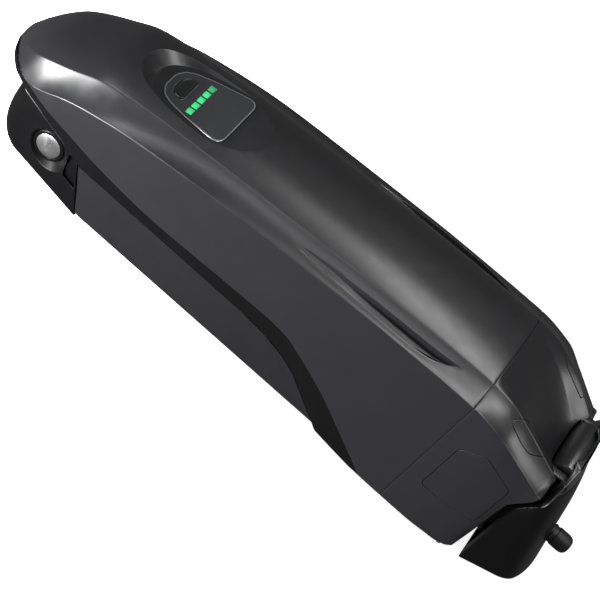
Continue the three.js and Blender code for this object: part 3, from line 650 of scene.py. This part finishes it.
def cover_outline(grow):
    points = [
        (316.5 - grow, 31.5 - grow), (351.6 + grow, 31.5 - grow), (351.6 + grow, 67.5 + 0.6 * grow),
        (330, 79 + grow), (316.5 - grow, 70.2 + 0.6 * grow),
    ]
    return rounded(points, 3.2, 6)


def cover_tool(grow, depth):
    outline = cover_outline(grow)
    inner = [(x, -surface_y(x, z) + depth, z) for x, z in outline]
    return loft("cover_tool", [inner, [(x, -60, z) for x, _, z in inner]])


def slab(x0, x1, y0, y1, z0, z1):
    corners = [(y0, z0), (y1, z0), (y1, z1), (y0, z1)]
    return loft("slab", [[(x, y, z) for y, z in corners] for x in (x0, x1)])


def end_cap():
    cap = cap_form("cap_skin")
    cover = cap_form("charge_flap", start=SEAM_X + 4)
    plugs = [cap_form(f"ridge_plug_skin_{word}", start=SEAM_X + 4) for word in ("right", "left")]

    roll_room = prism("roll_room", "y", circle(SWING_X, SWING_Z, ROLL_RADIUS + 1.2, 64), -19.9, 19.9)
    window = slab(333.7, 362, -16.3, 16.3, 7.7, 34.3)
    socket_room = slab(321.7, 347.3, -42, -25.7, 37.7, 66.3)
    socket_way = prism("socket_way", "y", circle(334.5, 52, 10.5), -60, -35)
    cut(cap, roll_room, window, socket_room, socket_way, cover_tool(0.35, 2.1))
    cut(cap, *[plug_tool(side, 0.3, 1.7) for side in (-1, 1)])
    finish_piece(cap, "pack", SHELL, "shell_plastic", "end_cap")

    boolean(cover, cover_tool(0, 1.8), "INTERSECT")
    tidy_normals(cover)
    finish_piece(cover, "cover", SHELL, "case_plastic", "charge_cover")

    for side, plug, node in zip((-1, 1), plugs, ("ridge_plug_right", "ridge_plug_left")):
        boolean(plug, plug_tool(side, 0, 1.5), "INTERSECT")
        tidy_normals(plug)
        finish_piece(plug, "pack", SHELL, "soft_rubber", node)

    for side, word in ((-1, "right"), (1, "left")):
        near, far = sorted((side * HOOK_INNER, side * HOOK_OUTER))
        arm = [
            (357, 71), (SWING_X, SWING_Z - HOOK_RADIUS), (SWING_X, SWING_Z + HOOK_RADIUS), (358, 82),
        ]
        hook = prism(f"hook_arm_{word}", "y", arm, near, far, 0.5)
        knuckle = lathe(
            "knuckle", "y", (SWING_X, 0, SWING_Z),
            [(near, HOOK_RADIUS - 0.6), (near + 0.4, HOOK_RADIUS), (far - 0.4, HOOK_RADIUS),
             (far, HOOK_RADIUS - 0.6)], 40,
        )
        join(hook, knuckle)
        finish_piece(hook, "pack", SHELL, "shell_plastic")


def hinge_pin():
    """A dark pin through the hook arms, with chamfered ends."""
    profile = [(-25.4, 1.9), (-24.9, PIN_RADIUS), (24.9, PIN_RADIUS), (25.4, 1.9)]
    pin = lathe("pin", "y", (SWING_X, 0, SWING_Z), profile, 32)
    finish_piece(pin, "mount", MOUNT, "steel", "hinge_pin")


def corner_feet():
    for side, word in ((-1, "right"), (1, "left")):
        corners = [(339, 36.5), (350, 35.5), (351.5, 39.5), (346, 42), (339.5, 42.8)]
        outline = rounded([(x, side * y) for x, y in corners], 1.6)
        pad = prism(f"corner_pad_{word}", "z", outline, 0.15, 1.6, 0.35)
        finish_piece(pad, "pack", SOFT, "soft_rubber", f"corner_foot_{word}")
        rivet = lathe_z(f"corner_rivet_{word}", (347.2, side * 40.2),
                        [(0.3, 1.5), (0.3, 1.9), (1.1, 2.0), (2.2, 2.0)])
        finish_piece(rivet, "pack", STEEL, "steel")


def lathe_z(name, centre, profile):
    """A small body turned about an upright line; profile is (height, radius)."""
    return loft(name, [[(x, y, z) for x, y in circle(*centre, radius, 32)] for z, radius in profile])


# ---- upper mount -----------------------------------------------------------------------------------

mount_front = through((0, 25.5), (2, 21.6), (4.5, 18.9), (8, 16.7), (12, 15.2), (20, 14), (45, 14))
mount_rear = through((0, 82), (4.5, 80), (36, 66))


def mount_side(x):
    return 30 + (x - 20) * 9 / 66


def mount_top(x):
    return 35.4 + (66 - x) * 0.135


def upper_mount():
    plan = [(86, mount_side(86)), (22, 30.2), (17, 27), (14, 20.5)]
    outline = [*plan, *[(x, -y) for x, y in reversed(plan)]]
    base = rounded_by(outline, [0.8, 7, 7, 7, 7, 7, 7, 0.8], 6)
    levels = [(0, 1.1), (0.006, 0.55), (0.018, 0.15), (0.035, 0)]
    levels += [(share, 0) for share in (0.08, 0.14, 0.22, 0.32, 0.44, 0.56, 0.7, 0.84, 0.955)]
    levels += [(0.975, 0.15), (0.99, 0.55), (1, 1.2)]
    rings = []
    for share, inset in levels:
        height = share * 36
        low, high = mount_front(height) + inset, mount_rear(height) - inset
        ring = []
        for x, y in base:
            px = low + (x - 14) / 72 * (high - low)
            py = y * (1 - inset / 34)
            ring.append((px, py, share * mount_top(px)))
        rings.append(ring)
    body = loft("upper_mount_body", rings)

    lock_way = prism("lock_way", "y", circle(LOCK_X, LOCK_Z, LOCK_RADIUS + 0.35, 64), -45, -20)
    collar_way = prism("collar_way", "y", circle(LOCK_X, LOCK_Z, LOCK_RADIUS + 2.4, 64), -45, -29.8)
    dish_profile = [(-45, 22), (-33.2, 11.2), (-31.4, 9.6), (-31.2, 3)]
    dish = lathe("dish", "y", (LOCK_X, 0, LOCK_Z), dish_profile)
    latch_way = slab(60, 90, -8.5, 8.5, 15.5, 24.5)
    under = slab(38, 65, -22, 22, -1, 30)
    cut(body, under, dish, collar_way, lock_way, latch_way, inlay_body("inlay_way", GAP, -5, 1.5))
    finish_piece(body, "mount", MOUNT, "mount_plastic", "upper_mount_housing")

    inlay = inlay_body("mount_inlay", 0, 0.25, 1.2)
    bevel(inlay, 0.3)
    finish_piece(inlay, "mount", MOUNT, "panel_plastic", "upper_mount_inlay")

    ring = lathe(
        "lock_ring", "y", (LOCK_X, 0, LOCK_Z),
        [(-30.2, 9.7), (-31.9, 9.7), (-32.2, 9.4), (-32.3, 8.8), (-32.15, 8.1), (-31.7, 7.85),
         (-30.2, 7.85)],
    )
    tunnel = prism("tunnel", "y", circle(LOCK_X, LOCK_Z, LOCK_RADIUS + 0.4, 64), -40, -20)
    cut(ring, tunnel)
    finish_piece(ring, "mount", MOUNT, "mount_plastic", "lock_collar")

    barrel = lathe(
        "lock_barrel", "y", (LOCK_X, 0, LOCK_Z),
        [
            (-12, 7.0), (-12.4, LOCK_RADIUS), (-32.0, LOCK_RADIUS), (-32.3, LOCK_RADIUS - 0.08),
            (LOCK_FACE, LOCK_RADIUS - 0.25),
        ],
        96,
    )
    shutter_edge = slab(
        LOCK_X - 0.75, LOCK_X + 0.75, LOCK_FACE - 1, LOCK_FACE + 0.3, LOCK_Z - 4, LOCK_Z + 4
    )
    shutter = slab(
        LOCK_X - 0.55, LOCK_X + 0.55, LOCK_FACE - 2, LOCK_FACE + 1, LOCK_Z - 3.8, LOCK_Z + 3.8
    )
    cut(shutter_edge, shutter)
    cut(barrel, shutter_edge)
    cam = prism("cam", "y", circle(LOCK_X, LOCK_Z - 4.6, 2, 24), -12.5, -9.4, 0.3)
    join(barrel, cam)
    finish_piece(barrel, "lock", BRUSHED, "lock_metal", "lock_cylinder")


def inlay_body(name, grow, low, high):
    """The plate let into the mount's slanted side, from one depth below its face to another."""
    outline = rounded(
        [
            (60.6 - grow, 33.6 + grow), (62.2 - grow, 20.6), (64 - 0.6 * grow, 17.4 - grow),
            (72.6 + grow, 16.7 - grow), (65.4 + grow, 33.6 + grow),
        ],
        1.2,
    )
    rings = [[(x, -mount_side(x) + depth, z) for x, z in outline] for depth in (low, high)]
    return loft(name, rings)


# ---- lower mount -----------------------------------------------------------------------------------

inner_x = through((0, 361), (57, 361.4), (61, 363), (70, 368.8), (74, 370.4), (90, 371.6))
inner_width = through((0, 40), (57, 39.6), (73, 39), (79, 34.5), (85, 27.5), (90, 19))
outer_x = through((0, 399), (30, 391.5), (45, 387.8), (61, 383), (75, 378), (84, 375.6), (90, 374))


def mount_ring(z, inset=0.0, inner=None):
    xi = inner_x(z) + inset if inner is None else inner
    xo = outer_x(z) - inset
    wide = inner_width(z) - inset
    narrow = min(wide - 1, 31.6 - 0.04 * z - inset)
    half = [
        (xi, wide), (xo - 11.5, narrow), (xo - 6, 0.87 * narrow), (xo - 2.6, 0.62 * narrow),
        (xo - 0.6, 0.28 * narrow),
    ]
    if xo - 11.5 < xi + 1:
        half[1] = (xi + 1, max(narrow, wide - 0.4))
    outline = mirrored(half)
    radii = [0.8, 6, 6, 6, 6, 6, 6, 6, 6, 0.8]
    return [(x, y, z) for x, y in rounded_by(outline, radii, 5)]


def lower_mount():
    levels = [(0, 1.3), (0.25, 0.7), (0.8, 0.2), (1.6, 0)]
    levels += [(z, 0) for z in steps(3, HOOD_Z - 1.4, 2.4)]
    levels += [(HOOD_Z - 0.8, 0.08), (HOOD_Z - 0.45, 0.3), (HOOD_Z - 0.25, 0.6)]
    housing = loft("lower_mount_body", [mount_ring(z, inset) for z, inset in levels])
    hollow = loft("hollow", [mount_ring(z, 3.2, 340) for z in (4, 15, 30, 45, 57, 66.5)])
    way = prism("gland_way", "x", circle(0, GLAND_Z, 6.1), 380, 410)
    cut(housing, hollow, way)
    finish_piece(housing, "mount", MOUNT, "mount_plastic", "lower_mount_housing")

    levels = [(HOOD_Z + 0.05, 0.6), (HOOD_Z + 0.25, 0.25), (HOOD_Z + 0.7, 0)]
    levels += [(z, 0) for z in steps(71.6, 87.5, 1.5)]
    levels += [(88.6, 0.1), (89.4, 0.35), (89.8, 0.7), (90, 1.1)]
    hood = loft("hood_wall", [mount_ring(z, inset * 0.7) for z, inset in levels])
    for side in (-1, 1):
        near, far = sorted((side * (ROLL_HALF + 0.1), side * (HOOK_OUTER + 0.6)))
        room = prism("hook_room", "y", circle(SWING_X, SWING_Z, HOOK_RADIUS + 1), near, far)
        cut(hood, room)
    roll_ends = [(0, 7.6), (0.25, 8.4), (0.8, 9.0), (1.6, ROLL_RADIUS)]
    profile = [(d - ROLL_HALF, r) for d, r in roll_ends]
    profile += [(ROLL_HALF - d, r) for d, r in reversed(roll_ends)]
    roll = lathe("roll", "y", (SWING_X, 0, SWING_Z), profile, 72)
    trim = slab(372, 400, -30, 30, 60, 100)
    cut(roll, trim, slab(350, 400, -30, 30, 60, HOOD_Z))
    join(hood, roll)
    # The hood takes the lighter copy of the mount plastic: a painted highlight.
    finish_piece(hood, "mount", HOOD_LIT_COPY, "mount_plastic", "lower_mount_hood")

    ribs = []
    for x in (388.5, 391.5, 394.5):
        ribs += [(x - 1.1, 5.8), (x - 0.8, 5.35), (x + 0.8, 5.35), (x + 1.1, 5.8)]
    profile = [(386, 5.4), (386.4, 5.8), *ribs, (401.6, 5.8), (403.3, 5.5), (404.6, 4.9), (405.5, 3.8),
               (405.9, 2.4), (GLAND_END_X, 1.2)]
    gland = lathe("gland_body", "x", (0, 0, GLAND_Z), profile, 48)
    finish_piece(gland, "mount", RUBBER, "soft_rubber", "cable_gland")


# ---- materials -------------------------------------------------------------------------------------


def new_material(name):
    material = bpy.data.materials.new(name)
    material.use_nodes = True
    nodes = material.node_tree.nodes
    nodes.clear()
    shader = nodes.new("ShaderNodeBsdfPrincipled")
    output = nodes.new("ShaderNodeOutputMaterial")
    material.node_tree.links.new(shader.outputs["BSDF"], output.inputs["Surface"])
    return material, nodes, material.node_tree.links, shader


def noise(nodes, links, scale, detail=3.0, stretch=(1, 1, 1)):
    coords = nodes.new("ShaderNodeTexCoord")
    mapping = nodes.new("ShaderNodeMapping")
    mapping.inputs["Scale"].default_value = stretch
    texture = nodes.new("ShaderNodeTexNoise")
    texture.inputs["Scale"].default_value = scale
    texture.inputs["Detail"].default_value = detail
    links.new(coords.outputs["Object"], mapping.inputs["Vector"])
    links.new(mapping.outputs["Vector"], texture.inputs["Vector"])
    return texture.outputs["Fac"]


def spread_value(nodes, links, source, low, high):
    ramp = nodes.new("ShaderNodeMapRange")
    ramp.inputs["From Min"].default_value = 0.3
    ramp.inputs["From Max"].default_value = 0.7
    ramp.inputs["To Min"].default_value = low
    ramp.inputs["To Max"].default_value = high
    links.new(source, ramp.inputs["Value"])
    return ramp.outputs["Result"]


def tinted(nodes, links, source, dark, light):
    mix = nodes.new("ShaderNodeMix")
    mix.data_type = "RGBA"
    mix.inputs[6].default_value = (*dark, 1)
    mix.inputs[7].default_value = (*light, 1)
    links.new(source, mix.inputs[0])
    return mix.outputs[2]


def bumped(nodes, links, shader, source, depth, edge=0.0004):
    """A fine surface relief over softly rounded edges."""
    rounding = nodes.new("ShaderNodeBevel")
    rounding.samples = 6
    rounding.inputs["Radius"].default_value = edge
    bump = nodes.new("ShaderNodeBump")
    bump.inputs["Strength"].default_value = 1.0
    bump.inputs["Distance"].default_value = depth
    links.new(source, bump.inputs["Height"])
    links.new(rounding.outputs["Normal"], bump.inputs["Normal"])
    links.new(bump.outputs["Normal"], shader.inputs["Normal"])


def moulded(name, color, roughness, grain=1800, depth=0.00001, specular=0.5):
    """Moulded plastic: a fine spark-eroded grain, cloudy colour and a slightly uneven sheen."""
    material, nodes, links, shader = new_material(name)
    cloud = noise(nodes, links, 28, 4)
    light = tuple(c * 1.12 for c in color)
    dark = tuple(c * 0.9 for c in color)
    links.new(tinted(nodes, links, cloud, dark, light), shader.inputs["Base Color"])
    sheen = noise(nodes, links, 140, 3)
    links.new(
        spread_value(nodes, links, sheen, roughness - 0.03, roughness + 0.03),
        shader.inputs["Roughness"],
    )
    shader.inputs["Specular IOR Level"].default_value = specular
    bumped(nodes, links, shader, noise(nodes, links, grain, 2), depth)
    return material


def metal(name, color, roughness, stretch=(1, 1, 1), scale=900, depth=0.000006):
    material, nodes, links, shader = new_material(name)
    cloud = noise(nodes, links, 60, 3)
    light = tuple(min(1, c * 1.05) for c in color)
    dark = tuple(c * 0.92 for c in color)
    links.new(tinted(nodes, links, cloud, dark, light), shader.inputs["Base Color"])
    shader.inputs["Metallic"].default_value = 1.0
    streak = noise(nodes, links, scale, 2, stretch)
    links.new(
        spread_value(nodes, links, streak, roughness - 0.06, roughness + 0.08),
        shader.inputs["Roughness"],
    )
    bumped(nodes, links, shader, streak, depth, 0.00025)
    return material


def turned_metal(name, color, roughness, centre):
    """Metal faced on a lathe: fine rings about an axis along Y, over a softly mottled polish."""
    material, nodes, links, shader = new_material(name)
    coords = nodes.new("ShaderNodeTexCoord")
    offset = nodes.new("ShaderNodeVectorMath")
    offset.operation = "SUBTRACT"
    offset.inputs[1].default_value = centre
    flat = nodes.new("ShaderNodeVectorMath")
    flat.operation = "MULTIPLY"
    flat.inputs[1].default_value = (1, 0, 1)
    distance = nodes.new("ShaderNodeVectorMath")
    distance.operation = "LENGTH"
    rings = nodes.new("ShaderNodeTexNoise")
    rings.noise_dimensions = "1D"
    rings.inputs["Scale"].default_value = 4200
    rings.inputs["Detail"].default_value = 2
    links.new(coords.outputs["Object"], offset.inputs[0])
    links.new(offset.outputs[0], flat.inputs[0])
    links.new(flat.outputs[0], distance.inputs[0])
    links.new(distance.outputs["Value"], rings.inputs["W"])
    links.new(
        tinted(nodes, links, rings.outputs["Fac"], tuple(c * 0.9 for c in color), color),
        shader.inputs["Base Color"],
    )
    shader.inputs["Metallic"].default_value = 1.0
    links.new(
        spread_value(nodes, links, rings.outputs["Fac"], roughness - 0.05, roughness + 0.06),
        shader.inputs["Roughness"],
    )
    bumped(nodes, links, shader, rings.outputs["Fac"], 0.000006, 0.0002)
    return material


def lamp(name, color, glow):
    """A tinted light window: glossy, with a slightly uneven glow from behind."""
    material, nodes, links, shader = new_material(name)
    cloud = noise(nodes, links, 500, 2)
    tint = tinted(nodes, links, cloud, tuple(c * 0.8 for c in color), color)
    links.new(tint, shader.inputs["Base Color"])
    links.new(tint, shader.inputs["Emission Color"])
    shader.inputs["Emission Strength"].default_value = glow
    shader.inputs["Roughness"].default_value = 0.25
    return material


def board(name):
    """Solder-masked circuit board with a faint trace pattern."""
    material, nodes, links, shader = new_material(name)
    coords = nodes.new("ShaderNodeTexCoord")
    bricks = nodes.new("ShaderNodeTexBrick")
    bricks.inputs["Scale"].default_value = 260
    bricks.inputs["Color1"].default_value = (0.008, 0.075, 0.03, 1)
    bricks.inputs["Color2"].default_value = (0.01, 0.1, 0.04, 1)
    bricks.inputs["Mortar"].default_value = (0.02, 0.15, 0.06, 1)
    links.new(coords.outputs["Object"], bricks.inputs["Vector"])
    links.new(bricks.outputs["Color"], shader.inputs["Base Color"])
    shader.inputs["Roughness"].default_value = 0.3
    bumped(nodes, links, shader, bricks.outputs["Fac"], 0.00002, 0.0002)
    return material


SHELL = moulded(
    "shell_plastic", (0.0095, 0.0095, 0.0105), 0.31, grain=1800, depth=0.000008, specular=0.5
)
# A darker, duller copy of the shell plastic for the undercut band under the foot: painted shade on the
# shell's own plastic.
PAINTED_SHADE_BAND = moulded("band_plastic_painted_shade", (0.0022, 0.0022, 0.0024), 0.5, specular=0.08)
CASE = moulded(
    "case_plastic", (0.0075, 0.0071, 0.0082), 0.4, grain=1800, depth=0.000008, specular=0.25
)
MOUNT = moulded(
    "mount_plastic", (0.0012, 0.0012, 0.0014), 0.34, grain=1400, depth=0.000014, specular=0.25
)
# A lighter, glossier copy of the mount plastic for the lower mount's hood: a painted highlight on a
# hood that is the housing's own plastic.
HOOD_LIT_COPY = moulded(
    "hood_plastic_painted_highlight", (0.0090, 0.0090, 0.0096), 0.3, grain=1800, depth=0.00001, specular=0.8
)
PANEL = moulded(
    "panel_plastic", (0.0180, 0.0185, 0.0200), 0.45, grain=2600, depth=0.000012, specular=0.4
)
INNER = moulded("inner_plastic", (0.014, 0.014, 0.015), 0.55)
RUBBER = moulded("rubber", (0.0080, 0.0080, 0.0086), 0.5, grain=900, depth=0.00002, specular=0.3)
SOFT = moulded("soft_plug", (0.0075, 0.0075, 0.0080), 0.36, grain=1200, specular=0.25)
TRIM = metal("trim_metal", (0.40, 0.41, 0.42), 0.42, (1, 30, 30), 300, 0.0000005)
STEEL = metal("plated_steel", (0.5, 0.5, 0.51), 0.32)
COPPER = metal("contact_copper", (0.76, 0.47, 0.26), 0.3, (30, 30, 1))
CELL = metal("cell_wrap", (0.04, 0.2, 0.3), 0.4)
BRUSHED = turned_metal("lock_metal", (0.74, 0.74, 0.75), 0.33, place(LOCK_X, LOCK_FACE, LOCK_Z))
LIT_LED = lamp("led_lit", (0.03, 0.44, 0.15), 0.48)
DIM_LED = lamp("led_dim", (0.025, 0.27, 0.10), 0.34)
BOARD = board("circuit_board")
FUSE = moulded("fuse_body", (0.6, 0.55, 0.4), 0.35)
RED_LEAD = moulded("lead_red", (0.4, 0.02, 0.016), 0.5)
BLACK_LEAD = moulded("lead_black", (0.012, 0.012, 0.012), 0.5)

SLOT_MATERIALS = {
    "shell_plastic": SHELL, "case_plastic": CASE, "mount_plastic": MOUNT, "panel_plastic": PANEL,
    "trim_metal": TRIM, "lock_metal": BRUSHED, "steel": STEEL, "led_window": LIT_LED,
    "cell_can": CELL, "inner_plastic": INNER, "circuit_board": BOARD, "contact_metal": COPPER,
    "soft_rubber": RUBBER, "fuse_body": FUSE, "lead_red": RED_LEAD, "lead_black": BLACK_LEAD,
}


def dress_frame():
    """Every CAD node gets the finished material of its slot."""
    for part in frame["record"]["subparts"]:
        mesh = frame["nodes"][part["node"]].data
        mesh.materials.clear()
        mesh.materials.append(SLOT_MATERIALS[part["material_slot"]])


def finish_piece(obj, body, material, slot, *nodes):
    obj.data.materials.clear()
    obj.data.materials.append(material)
    for polygon in obj.data.polygons:
        polygon.material_index = 0
    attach(obj, body)
    if nodes:
        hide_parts(*nodes)


# ---- stage -----------------------------------------------------------------------------------------

CAMERA_TARGET = Vector((0.0021, -0.0213, 0.05))
CAMERA_DISTANCE = 1.1746
CAMERA_AZIMUTH = math.radians(1.6)
CAMERA_ELEVATION = math.radians(45.68)
CAMERA_ROLL = math.radians(42.58)
CAMERA_LENS = 132

WORLD_STRENGTH = 0.12
FLOOR_HALF = 6
FLOOR_GREY = (0.2, 0.2, 0.2, 1)
GLOW_FROM, GLOW_TO = (-0.24, 4.2), (0.08, 0.88)  # place along X, strength

# name, place, what it points at, size, power in watts
SOFTBOXES = [
    ("overhead", (0.25, 0.12, 1.2), (0.05, 0, 0.08), (1.3, 0.28), 11.5),
    ("near_side", (-0.62, -0.62, 0.1), (-0.2, -0.05, 0.05), (0.5, 0.16), 28),
    ("crest", (0, -0.28, 1), (0, -0.03, 0.1), (1.7, 0.05), 3),
    ("nose_crest", (-0.7, -0.16, 0.95), (-0.17, -0.03, 0.08), (0.3, 0.2), 1.6),
    ("far_end", (1, 0.15, 0.62), (0.13, -0.03, 0.09), (0.35, 0.35), 2.6),
]


def camera():
    toward = Vector((
        math.sin(CAMERA_AZIMUTH) * math.cos(CAMERA_ELEVATION),
        math.cos(CAMERA_AZIMUTH) * math.cos(CAMERA_ELEVATION),
        -math.sin(CAMERA_ELEVATION),
    ))
    data = bpy.data.cameras.new("camera")
    data.lens = CAMERA_LENS
    data.sensor_width = 36
    data.clip_start = 0.01
    obj = bpy.data.objects.new("camera", data)
    turn = toward.to_track_quat("-Z", "Y").to_matrix() @ Matrix.Rotation(CAMERA_ROLL, 3, "Z")
    obj.matrix_world = Matrix.Translation(CAMERA_TARGET - toward * CAMERA_DISTANCE) @ turn.to_4x4()
    bpy.context.scene.collection.objects.link(obj)
    bpy.context.scene.camera = obj


def softbox(name, at, toward, size, power):
    data = bpy.data.lights.new(name, "AREA")
    data.shape = "RECTANGLE"
    data.size, data.size_y = size
    data.energy = power
    obj = bpy.data.objects.new(name, data)
    obj.location = at
    obj.rotation_euler = (Vector(toward) - Vector(at)).to_track_quat("-Z", "Y").to_euler()
    bpy.context.scene.collection.objects.link(obj)


def floor_material():
    """Pale and dull, with a glow that is stronger under the display end."""
    material, nodes, links, shader = new_material("pale_floor")
    shader.inputs["Base Color"].default_value = FLOOR_GREY
    shader.inputs["Roughness"].default_value = 0.9
    shader.inputs["Emission Color"].default_value = (1, 1, 1, 1)
    coords = nodes.new("ShaderNodeTexCoord")
    along = nodes.new("ShaderNodeSeparateXYZ")
    glow = nodes.new("ShaderNodeMapRange")
    glow.interpolation_type = "SMOOTHSTEP"
    glow.inputs["From Min"].default_value, glow.inputs["To Min"].default_value = GLOW_FROM
    glow.inputs["From Max"].default_value, glow.inputs["To Max"].default_value = GLOW_TO
    links.new(coords.outputs["Object"], along.inputs["Vector"])
    links.new(along.outputs["X"], glow.inputs["Value"])
    links.new(glow.outputs["Result"], shader.inputs["Emission Strength"])
    return material


def floor():
    """A large floor that lights the part from below and is left out of glossy reflections."""
    h = FLOOR_HALF
    mesh = bpy.data.meshes.new("floor")
    mesh.from_pydata([(-h, -h, 0), (h, -h, 0), (h, h, 0), (-h, h, 0)], [], [(0, 1, 2, 3)])
    mesh.materials.append(floor_material())
    obj = bpy.data.objects.new("floor", mesh)
    bpy.context.scene.collection.objects.link(obj)
    obj.visible_glossy = False


def stage():
    world = bpy.data.worlds.new("studio")
    world.use_nodes = True
    background = world.node_tree.nodes["Background"]
    background.inputs["Color"].default_value = (1, 1, 1, 1)
    background.inputs["Strength"].default_value = WORLD_STRENGTH
    bpy.context.scene.world = world
    bpy.context.scene.view_settings.view_transform = "Standard"
    floor()
    for settings in SOFTBOXES:
        softbox(*settings)


camera()
dress_frame()
upper_shell()
end_cap()
hinge_pin()
corner_feet()
display()
upper_mount()
lower_mount()
stage()
